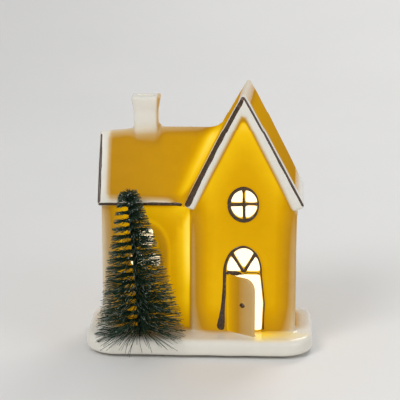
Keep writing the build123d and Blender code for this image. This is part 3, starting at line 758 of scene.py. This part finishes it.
def resampled(points):
    """Evenly spaced points along a line of points, their shares of its length, and the length."""
    points = np.asarray(points, float)
    run = np.concatenate([[0], np.cumsum(np.linalg.norm(np.diff(points, axis=0), axis=1))])
    places = np.linspace(0, run[-1], max(LEAST_POINTS, round(run[-1] / PAINT_STEP)))
    even = np.stack([np.interp(places, run, points[:, axis]) for axis in range(3)], axis=1)
    return even, places / run[-1], run[-1]


def settled(guides):
    """The nearest points of the porcelain, and the way it faces there."""
    hits = [surface.find_nearest(Vector(guide)) for guide in guides]
    return np.array([hit[0] for hit in hits]), np.array([hit[1] for hit in hits])


def stroke(points, widths, rise=PAINT_RISE, bridging=False):
    """A brush stroke along points, which follows the porcelain or bridges over its edges."""
    guides, share, length = resampled(points)
    guides = hand_shape(guides)
    width = MM * np.interp(share, *zip(*widths))
    waver = np.array([noise.noise(Vector(guide) / HAND_WAVE) for guide in guides])
    width *= 1 + HAND_WAVER * waver
    end = np.clip(np.minimum(share, 1 - share) * length / (width / 2), TIP_SHARE, 1)
    width *= np.sqrt(1 - (1 - end) ** 2)
    centre, facing = settled(guides)
    for _ in range(FACING_PASSES):
        facing[1:-1] = facing[:-2] + facing[1:-1] + facing[2:]
        facing /= np.linalg.norm(facing, axis=1)[:, None]
    side = np.cross(np.gradient(centre, axis=0), facing)
    side /= np.linalg.norm(side, axis=1)[:, None]
    rows = []
    for across in PAINT_PROFILE:
        spots = centre + side * (across * width / 2)[:, None]
        out = facing
        if not bridging:
            spots, out = settled(spots)
        rows.append(spots + out * (rise * (1 - across**2) - PAINT_SINK * abs(across)))
    count = len(PAINT_PROFILE)
    corners = np.stack(rows, axis=1).reshape(-1, 3)
    faces = []
    for station in range(len(guides) - 1):
        here = station * count
        for row in range(count):
            following = (row + 1) % count
            faces.append((here + row, here + following, here + count + following, here + count + row))
    faces.append(tuple(reversed(range(count))))
    faces.append(tuple(range(len(corners) - count, len(corners))))
    return corners, faces


def fascia_line():
    """Along the outer edge of the gable's fascia, from the left eave over the apex to the right eave."""
    half = gable_high.x - gable_x - FASCIA_END
    points = []
    for aside in np.linspace(-half, half, FASCIA_POINTS):
        inset = FASCIA_INSET_LEFT if aside < 0 else FASCIA_INSET_RIGHT
        drop = np.hypot(aside, FASCIA_APEX_ROUND) * math.tan(GABLE_PITCH) + inset / math.cos(GABLE_PITCH)
        points.append((gable_x + aside, gable_low.y, gable_apex - drop))
    points.append((gable_high.x - FASCIA_TAIL_INSET, gable_low.y, points[-1][2] - FASCIA_TAIL))
    return points


def rake_line():
    """Down the left edge of the main roof's front slope."""
    points = []
    for y in np.linspace(ridge_y - RAKE_START, main_low.y, RAKE_POINTS):
        points.append((main_low.x + RAKE_INSET, y, main_ridge - (ridge_y - y) * math.tan(MAIN_PITCH)))
    return points


def eave_line():
    """Along the main roof's eave."""
    left = main_low.x + EAVE_START, main_low.y, main_low.z + EAVE_START_RISE
    right = gable_low.x + EAVE_END, main_low.y, main_low.z + EAVE_END_RISE
    return [left, right]


def ellipse(x, z, half_wide, half_tall, start, end):
    """Points on an ellipse on the gable's front; angles in degrees, anticlockwise from the right."""
    angles = np.radians(np.linspace(start, end, ELLIPSE_POINTS))
    return [(x + half_wide * math.cos(a), walls_low.y, z + half_tall * math.sin(a)) for a in angles]


def doorway_line():
    """From a blot at the left foot, up, round the fanlight and down the right side."""
    wide = DOORWAY_HALF + OUTLINE_GAP
    left = gable_x - wide
    rising = [(left - out * MM, walls_low.y, top + height * MM) for out, height in DOORWAY_LEFT_SIDE]
    arch = ellipse(gable_x - DOORWAY_ARCH_SHIFT, spring_z, wide, FANLIGHT_RISE + OUTLINE_GAP, 180, 0)
    falling = [
        (gable_x + wide + DOORWAY_FLARE, walls_low.y, top + DOORWAY_FLARE_HEIGHT),
        (gable_x + wide + DOORWAY_FOOT_FLARE, walls_low.y, top + DOORWAY_END),
    ]
    return rising + arch + falling


def window_lines():
    """The ring of the round window, thin on its right, and its two bars."""
    x = gable_x - WINDOW_SHIFT
    y = gable_front
    z = top + ROUND_WINDOW_HEIGHT
    wide = ROUND_WINDOW_HALF_WIDE + RING_GAP
    tall = ROUND_WINDOW_HALF_TALL + OUTLINE_GAP
    yield ellipse(x, z, wide, tall, RING_START, RING_START + 360 + RING_OVERLAP), RING_WIDTHS
    yield [(x - BAR_TILT, y, z + tall), (x + BAR_TILT, y, z - tall)], UPRIGHT_WIDTHS
    z += WINDOW_SHIFT
    yield [(gable_x - wide, y, z - BAR_TILT), (gable_x + wide, y, z + BAR_TILT)], LEVEL_WIDTHS


def fanlight_lines():
    """The two slanted bars of the fanlight and its transom, which is thin on the right."""
    y = gable_front
    reach = FAN_BAR_SHARE * FANLIGHT_RISE
    for side in (-1, 1):
        tip_x = gable_x + side * reach * math.sin(FANLIGHT_BAR_ANGLE)
        tip_z = spring_z + reach * math.cos(FANLIGHT_BAR_ANGLE)
        yield [(gable_x, y, spring_z), (tip_x, y, tip_z)], FAN_BAR_WIDTHS
    z = spring_z - BAR / 2
    left = gable_x - DOORWAY_HALF - TRANSOM_OUT, y, z + TRANSOM_START_RISE
    right = gable_x + DOORWAY_HALF, y, z + TRANSOM_END_RISE
    yield [left, (gable_x, y, z - TRANSOM_SAG)], TRANSOM_LEFT_WIDTHS
    yield [(gable_x, y, z + TRANSOM_START_RISE), right], TRANSOM_RIGHT_WIDTHS


def knob_line():
    """A short dab on the door's knob."""
    along = Vector((math.cos(DOOR_AJAR), -math.sin(DOOR_AJAR), 0))
    out = Vector((-math.sin(DOOR_AJAR), -math.cos(DOOR_AJAR), 0))
    hinge = Vector((door_low.x, gable_front, top + KNOB_HEIGHT))
    knob = hinge + KNOB_FROM_HINGE * along + KNOB_RELIEF * out
    return [tuple(knob + step * KNOB_RADIUS * along) for step in (-1, 0, 1)]


def paint_material():
    """Dark brown underglaze paint, thinner and redder in places."""
    material, shader = new_material("brown_underglaze")
    patches = object_noise(material, scale=700.0, detail=4.0)
    link(material, ramp(material, patches, PAINT_COLOURS), shader.inputs["Base Color"])
    link(material, spread(material, patches, low=0.22, high=0.38), shader.inputs["Roughness"])
    shader.inputs["Coat Weight"].default_value = 0.2
    grain = object_noise(material, scale=2500.0, detail=2.0)
    bump(material, shader, grain, distance=0.03 * MM, strength=0.6)
    return material


def make_paint():
    """All painted lines, one piece for each feature that they outline."""
    lines = {
        "paint_fascia": [stroke(fascia_line(), FASCIA_WIDTHS)],
        "paint_rake": [stroke(rake_line(), RAKE_WIDTHS)],
        "paint_eave": [stroke(eave_line(), EAVE_WIDTHS)],
        "paint_round_window": [stroke(*line, bridging=True) for line in window_lines()],
        "paint_doorway": [stroke(*line, bridging=True) for line in fanlight_lines()],
        "paint_knob": [stroke(knob_line(), KNOB_WIDTHS, KNOB_PAINT_RISE)],
    }
    lines["paint_doorway"].append(stroke(doorway_line(), DOORWAY_WIDTHS))
    material = paint_material()
    for name, strokes in lines.items():
        points = []
        faces = []
        for corners, quads in strokes:
            faces.extend(tuple(len(points) + index for index in face) for face in quads)
            points.extend(corners)
        make_object(name, mesh_from(name, points, faces), material)


make_paint()


# Bottle-brush tree: bristles caught in a twisted pair of wires

RANDOM_SEED = 7
BRISTLE_COUNT = 2400
SKIRT_COUNT = 60
SKIRT_LOW = 1.6 * MM
SKIRT_HIGH = 4.5 * MM
CROWN_COUNT = 160
CROWN_DEPTH = 7.0 * MM
TREE_TRIM = 2.3 * MM
BRISTLE_RADIUS = 0.15 * MM
BRISTLE_RADIUS_SPREAD = (0.8, 1.15)
BRISTLE_SIDES = 3
BRISTLE_RINGS = (0.0, 0.35, 0.7, 1.0)
BRISTLE_TAPER = (1.0, 1.0, 0.95, 0.75)
BRISTLE_ROOT = 0.3 * STEM_RADIUS
TURN_SPREAD = 0.2
REACH_SPREAD = (0.94, 1.03)
SLOPE = 0.03
SLOPE_SPREAD = 0.055
DROOP = 0.07
DROOP_SPREAD = 0.03
CURL_SPREAD = 0.07
SKIRT_SHARE = 0.05
SKIRT_DROOP = 0.17
TOP_SHARE = 0.08
TOP_SHORTENING = 0.3
TOP_SLOPE = 0.35
FROSTED_SHARE = 0.4
FROST = (0.0, 0.0, 0.0, 0.7)
FROST_SPREAD = (0.5, 1.0)
FLOCK_COUNT = 150
FLOCK_RADIUS = 0.26 * MM
FLOCK_SIZE_SPREAD = (0.6, 1.3)
FLOCK_STRETCH = (0.7, 1.2)
FLOCK_DENTS = (0.85, 1.1)
FLOCK_SETBACK = 0.07
WALL_CLEAR = 0.5 * MM
WALL_SLACK = 1.2 * MM
WALL_PRESS = 0.04
SNOW_CLEAR = 0.4 * MM
RIM_ROUND = 3.2 * MM
RIM_LOW_SHARE = 0.6
STEM_BOW = 1.1 * MM
STEM_BOW_SHARE = 0.2
STEM_START = 0.2 * MM
STEM_STATIONS = 240
WIRE_RADIUS = STEM_RADIUS / 2
WIRE_SIDES = 8
NEARLY_UP = np.array([0.03, 0.02, 1.0])

stem_tall = stem_high.z - stem_low.z
stem_lean = math.atan2(stem_high.x - stem_low.x - 2 * STEM_RADIUS, stem_tall)
stem_axis = np.array([-math.sin(stem_lean), 0.0, math.cos(stem_lean)])
stem_right = np.array([math.cos(stem_lean), 0.0, math.sin(stem_lean)])
stem_back = np.array([0.0, 1.0, 0.0])
stem_end = np.array([stem_high.x - STEM_RADIUS, (stem_low.y + stem_high.y) / 2, stem_low.z])
stem_sunk = (top - stem_low.z) / stem_axis[2]
stem_foot = stem_end + stem_axis * stem_sunk
tree_height = (stem_high.z - top) / stem_axis[2]
wall_limit = main_front - ARCH_RELIEF - WALL_CLEAR
rng = np.random.default_rng(RANDOM_SEED)


def stem_bow(height):
    """How the stem bends to the right, by height along it above the snow."""
    bend = STEM_BOW * (1 - np.exp(-np.maximum(height, 0) / (STEM_BOW_SHARE * tree_height)))
    return bend[:, None] * stem_right


def round_stem(angle):
    """Directions square to the stem; angles from the right towards the back."""
    return np.cos(angle)[:, None] * stem_right + np.sin(angle)[:, None] * stem_back


def clear_of_house(points, slack):
    """Bend bristles along the wall behind the tree and keep them off the snow."""
    limit = wall_limit - slack
    y = points[..., 1]
    points[..., 1] = np.where(y > limit, limit - WALL_PRESS * (y - limit), y)
    over_snow = points[..., 1] > base_low.y + RIM_ROUND
    lowest = np.where(over_snow, top + SNOW_CLEAR, RIM_LOW_SHARE * top)
    points[..., 2] = np.maximum(points[..., 2], lowest)
    return points


def bristle_paths():
    """Four points on each bristle, from the wires to the tip."""
    height = rng.uniform(TREE_FIRST, tree_height - TREE_TRIM, BRISTLE_COUNT)
    skirt = rng.uniform(SKIRT_LOW, SKIRT_HIGH, SKIRT_COUNT)
    crown = tree_height - rng.uniform(TREE_TRIM, CROWN_DEPTH, CROWN_COUNT)
    height = np.concatenate([height, skirt, crown])
    count = len(height)
    turn = 2 * math.pi * height / TREE_PITCH + math.pi * rng.integers(0, 2, count)
    turn += rng.normal(0, TURN_SPREAD, count)
    turn[BRISTLE_COUNT:] = rng.uniform(0, 2 * math.pi, count - BRISTLE_COUNT)
    up = np.clip((height - TREE_FIRST) / (tree_height - TREE_FIRST), 0, 1)
    reach = (TREE_RADIUS + (TREE_TOP_RADIUS - TREE_RADIUS) * up) * rng.uniform(*REACH_SPREAD, count)
    at_top = np.clip((up - 1) / TOP_SHARE + 1, 0, 1)
    at_foot = np.clip(1 - up / SKIRT_SHARE, 0, 1)
    reach *= 1 - TOP_SHORTENING * at_top
    slope = rng.normal(SLOPE, SLOPE_SPREAD, count) + TOP_SLOPE * at_top
    droop = rng.normal(DROOP, DROOP_SPREAD, count) + SKIRT_DROOP * at_foot
    curl = rng.normal(0, CURL_SPREAD, count)
    paths = []
    for part in BRISTLE_RINGS:
        out = BRISTLE_ROOT + reach * part
        level = height + reach * (slope * part - droop * part**2)
        flat = round_stem(turn + curl * part**2)
        paths.append(stem_foot + stem_bow(height) + out[:, None] * flat + level[:, None] * stem_axis)
    slack = rng.uniform(0, WALL_SLACK, count)
    return clear_of_house(np.stack(paths, axis=1), slack[:, None])


def tubes(paths, radii, sides):
    """Thin closed tubes along paths, all in one mesh."""
    ahead = np.gradient(paths, axis=1)
    ahead /= np.linalg.norm(ahead, axis=2)[..., None]
    across = np.cross(ahead, NEARLY_UP)
    across /= np.linalg.norm(across, axis=2)[..., None]
    over = np.cross(across, ahead)
    rings = []
    for corner in range(sides):
        angle = 2 * math.pi * corner / sides
        rings.append(paths + radii[..., None] * (math.cos(angle) * across + math.sin(angle) * over))
    points = np.stack(rings, axis=2)
    count, stations = paths.shape[:2]
    index = np.arange(count * stations * sides).reshape(count, stations, sides)
    following = np.roll(index, -1, axis=2)
    walls = np.stack([index[:, :-1], index[:, 1:], following[:, 1:], following[:, :-1]], axis=-1)
    faces = walls.reshape(-1, 4).tolist() + index[:, 0].tolist() + index[:, -1, ::-1].tolist()
    return points.reshape(-1, 3), faces


def flock(tips):
    """Small uneven lumps of snow at tips of bristles."""
    ball = bmesh.new()
    bmesh.ops.create_icosphere(ball, subdivisions=1, radius=1.0)
    shape = np.array([vertex.co for vertex in ball.verts])
    corners = [[vertex.index for vertex in face.verts] for face in ball.faces]
    ball.free()
    points = []
    faces = []
    for tip in tips:
        size = FLOCK_RADIUS * rng.uniform(*FLOCK_SIZE_SPREAD) * rng.uniform(*FLOCK_STRETCH, 3)
        faces.extend([len(points) + index for index in face] for face in corners)
        points.extend(tip + shape * size * rng.uniform(*FLOCK_DENTS, (len(shape), 1)))
    return points, faces


def bristle_material():
    """Dark green bristles with pale, frosted tips."""
    material, shader = new_material("tree_bristle")
    frost = point_value(material, "frost")
    tint = object_noise(material, scale=900.0)
    green = two_tone(material, tint, (0.008, 0.026, 0.014), (0.022, 0.060, 0.030))
    pale = two_tone(material, tint, (0.24, 0.27, 0.24), (0.42, 0.45, 0.41))
    link(material, mixed(material, green, pale, "MIX", frost), shader.inputs["Base Color"])
    link(material, spread(material, frost, low=0.60, high=0.85), shader.inputs["Roughness"])
    shader.inputs["Specular IOR Level"].default_value = 0.25
    return material


def make_tree():
    """All bristles and the snow on them, in one mesh."""
    paths = bristle_paths()
    count = len(paths)
    radii = BRISTLE_RADIUS * rng.uniform(*BRISTLE_RADIUS_SPREAD, (count, 1)) * np.array(BRISTLE_TAPER)
    points, faces = tubes(paths, radii, BRISTLE_SIDES)
    frosted = rng.random(count) < FROSTED_SHARE
    frost = frosted[:, None] * np.array(FROST) * rng.uniform(*FROST_SPREAD, (count, 1))
    frost = np.repeat(frost, BRISTLE_SIDES, axis=1).ravel()
    chosen = rng.choice(count, FLOCK_COUNT, replace=False)
    lumps, lump_faces = flock((1 - FLOCK_SETBACK) * paths[chosen, -1] + FLOCK_SETBACK * paths[chosen, -2])
    faces += [[len(points) + index for index in face] for face in lump_faces]
    mesh = mesh_from("tree_bristle_fins", np.concatenate([points, lumps]), faces)
    store(mesh, "frost", np.concatenate([frost, np.ones(len(lumps))]))
    make_object("tree_bristle_fins", mesh, bristle_material(), ["tree_bristles"])


def make_stem():
    """The two wires, twisted round each other."""
    along = np.linspace(STEM_START, stem_tall / stem_axis[2] - TREE_TRIM, STEM_STATIONS)
    middle = stem_end + stem_bow(along - stem_sunk) + along[:, None] * stem_axis
    paths = []
    for start in (0, math.pi):
        paths.append(middle + WIRE_RADIUS * round_stem(2 * math.pi * along / TREE_PITCH + start))
    points, faces = tubes(np.array(paths), np.full((2, len(along)), WIRE_RADIUS), WIRE_SIDES)
    mesh = mesh_from("twisted_stem", points, faces)
    wire = mottled(
        "twisted_wire",
        colour=(0.03, 0.05, 0.035),
        variation=0.3,
        roughness=0.42,
        scale=900.0,
        grain=0.02 * MM,
        metallic=0.4,
    )
    make_object("twisted_stem", mesh, wire, ["tree_stem"])


make_tree()
make_stem()


# Finishes of the light unit and the foot pads, which keep their solids' shapes. Each row is a colour,
# its variation, roughness, waves per metre, depth of grain and metal share.

FINISHES = {
    "soft_pad": ((0.52, 0.52, 0.50), 0.06, 0.62, 500.0, 0.03 * MM, 0.0),
    "housing_plastic": ((0.78, 0.77, 0.73), 0.03, 0.40, 250.0, 0.03 * MM, 0.0),
    "grip_silicone": ((0.66, 0.66, 0.63), 0.05, 0.55, 400.0, 0.02 * MM, 0.0),
    "board": ((0.02, 0.15, 0.06), 0.35, 0.38, 900.0, 0.02 * MM, 0.0),
    "tinned_metal": ((0.74, 0.74, 0.72), 0.08, 0.30, 1500.0, 0.01 * MM, 1.0),
    "resistor_body": ((0.03, 0.03, 0.035), 0.2, 0.45, 1500.0, 0.01 * MM, 0.0),
    "cell_steel": ((0.66, 0.65, 0.62), 0.06, 0.26, 700.0, 0.01 * MM, 1.0),
    "contact_brass": ((0.72, 0.52, 0.22), 0.10, 0.30, 900.0, 0.01 * MM, 1.0),
    "switch_steel": ((0.60, 0.60, 0.58), 0.08, 0.34, 900.0, 0.01 * MM, 1.0),
    "wire_red": ((0.50, 0.03, 0.02), 0.10, 0.45, 900.0, 0.01 * MM, 0.0),
    "knob_black": ((0.02, 0.02, 0.022), 0.25, 0.48, 900.0, 0.03 * MM, 0.0),
}


def lamp_material():
    """A warm lamp that is on."""
    material, shader = new_material("warm_lamp")
    patches = object_noise(material, scale=300.0)
    warm = two_tone(material, patches, (1.0, 0.66, 0.26), (1.0, 0.80, 0.45))
    link(material, warm, shader.inputs["Base Color"])
    link(material, warm, shader.inputs["Emission Color"])
    shader.inputs["Emission Strength"].default_value = 2.0
    shader.inputs["Roughness"].default_value = 0.12
    return material


def finish_unit():
    """Give each node that keeps its solid the finish of its slot."""
    materials = {slot: mottled(slot + "_finish", *values) for slot, values in FINISHES.items()}
    materials["lamp_lens"] = lamp_material()
    for name, slot in slots.items():
        if slot in materials:
            for holder in frame["nodes"][name].material_slots:
                holder.material = materials[slot]


finish_unit()


# Stage, light and camera

STAGE_HALF_WIDTH = 1.6
STAGE_FRONT = -1.2
STAGE_BACK = 1.1
STAGE_RISE = 1.5
STAGE_CURVE = 0.5
STAGE_CURVE_STEPS = 12
SKY = (0.95, 0.97, 1.0, 1.0)
SKY_STRENGTH = 0.45
LIGHTS_AIM = Vector((0.0, 0.0, 0.06))

# The camera's place, worked out from the photograph: angles in degrees, lens and sensor in millimetres
CAMERA_AZIMUTH = 2.47
CAMERA_ELEVATION = 15.02
CAMERA_DISTANCE = 825.2 * MM
CAMERA_AIM_HEIGHT = 72.71 * MM
CAMERA_AIM_ASIDE = -0.30 * MM
CAMERA_AIM_BEFORE_BACK = 32.0 * MM
CAMERA_LENS = 150.74
CAMERA_SENSOR = 36.0


def floor_material():
    """A pale matt floor; from underneath it is clear, so that the underside of the house can be seen."""
    material = mottled("pale_floor", (0.80, 0.79, 0.77), variation=0.015, roughness=0.55, scale=6.0)
    shader = material.node_tree.nodes["Principled BSDF"]
    output = material.node_tree.nodes["Material Output"]
    side = add_node(material, "ShaderNodeNewGeometry")
    clear = add_node(material, "ShaderNodeBsdfTransparent")
    choice = add_node(material, "ShaderNodeMixShader")
    link(material, side.outputs["Backfacing"], choice.inputs[0])
    link(material, shader.outputs["BSDF"], choice.inputs[1])
    link(material, clear.outputs["BSDF"], choice.inputs[2])
    link(material, choice.outputs["Shader"], output.inputs["Surface"])
    return material


def make_stage():
    """A pale floor that curves up into a backdrop."""
    flat_end = STAGE_BACK - STAGE_CURVE
    profile = [(STAGE_FRONT, 0.0), (flat_end, 0.0)]
    for step in range(1, STAGE_CURVE_STEPS + 1):
        angle = math.pi / 2 * step / STAGE_CURVE_STEPS
        profile.append((flat_end + STAGE_CURVE * math.sin(angle), STAGE_CURVE * (1 - math.cos(angle))))
    profile.append((STAGE_BACK, STAGE_RISE))
    points = [(side * STAGE_HALF_WIDTH, y, z) for y, z in profile for side in (-1, 1)]
    faces = [(2 * i, 2 * i + 1, 2 * i + 3, 2 * i + 2) for i in range(len(profile) - 1)]
    mesh = mesh_from("pale_floor", points, faces)
    mesh.materials.append(floor_material())
    floor = bpy.data.objects.new("pale_floor", mesh)
    bpy.context.scene.collection.objects.link(floor)


def add_light(name, place, size, power):
    """A round soft light that points at the house."""
    light = bpy.data.lights.new(name, "AREA")
    light.shape = "DISK"
    light.size = size
    light.energy = power
    holder = bpy.data.objects.new(name, light)
    holder.location = place
    holder.rotation_euler = (LIGHTS_AIM - Vector(place)).to_track_quat("-Z", "Y").to_euler()
    bpy.context.scene.collection.objects.link(holder)


def make_lights():
    """An even sky and three soft lights."""
    world = bpy.data.worlds.new("studio")
    world.use_nodes = True
    world.node_tree.nodes["Background"].inputs["Color"].default_value = SKY
    world.node_tree.nodes["Background"].inputs["Strength"].default_value = SKY_STRENGTH
    bpy.context.scene.world = world
    add_light("key", place=(-0.55, -0.75, 0.80), size=0.55, power=5.5)
    add_light("fill", place=(0.75, -0.55, 0.45), size=0.60, power=2.2)
    add_light("rim", place=(0.35, 0.75, 0.75), size=0.50, power=3.0)


def make_camera():
    """The camera of the photograph."""
    azimuth = math.radians(CAMERA_AZIMUTH)
    elevation = math.radians(CAMERA_ELEVATION)
    right = Vector((math.cos(azimuth), math.sin(azimuth), 0))
    ahead = Vector((-math.sin(azimuth), math.cos(azimuth), 0))
    back = Vector((0, 0, math.sin(elevation))) - math.cos(elevation) * ahead
    aim = Vector((0, base_high.y - CAMERA_AIM_BEFORE_BACK, CAMERA_AIM_HEIGHT)) + CAMERA_AIM_ASIDE * right
    data = bpy.data.cameras.new("camera")
    data.lens = CAMERA_LENS
    data.sensor_width = CAMERA_SENSOR
    camera = bpy.data.objects.new("camera", data)
    camera.location = aim + CAMERA_DISTANCE * back
    camera.rotation_mode = "QUATERNION"
    camera.rotation_quaternion = (-back).to_track_quat("-Z", "Y")
    bpy.context.scene.collection.objects.link(camera)
    bpy.context.scene.camera = camera


make_stage()
make_lights()
make_camera()
bpy.context.scene.view_settings.view_transform = "Standard"
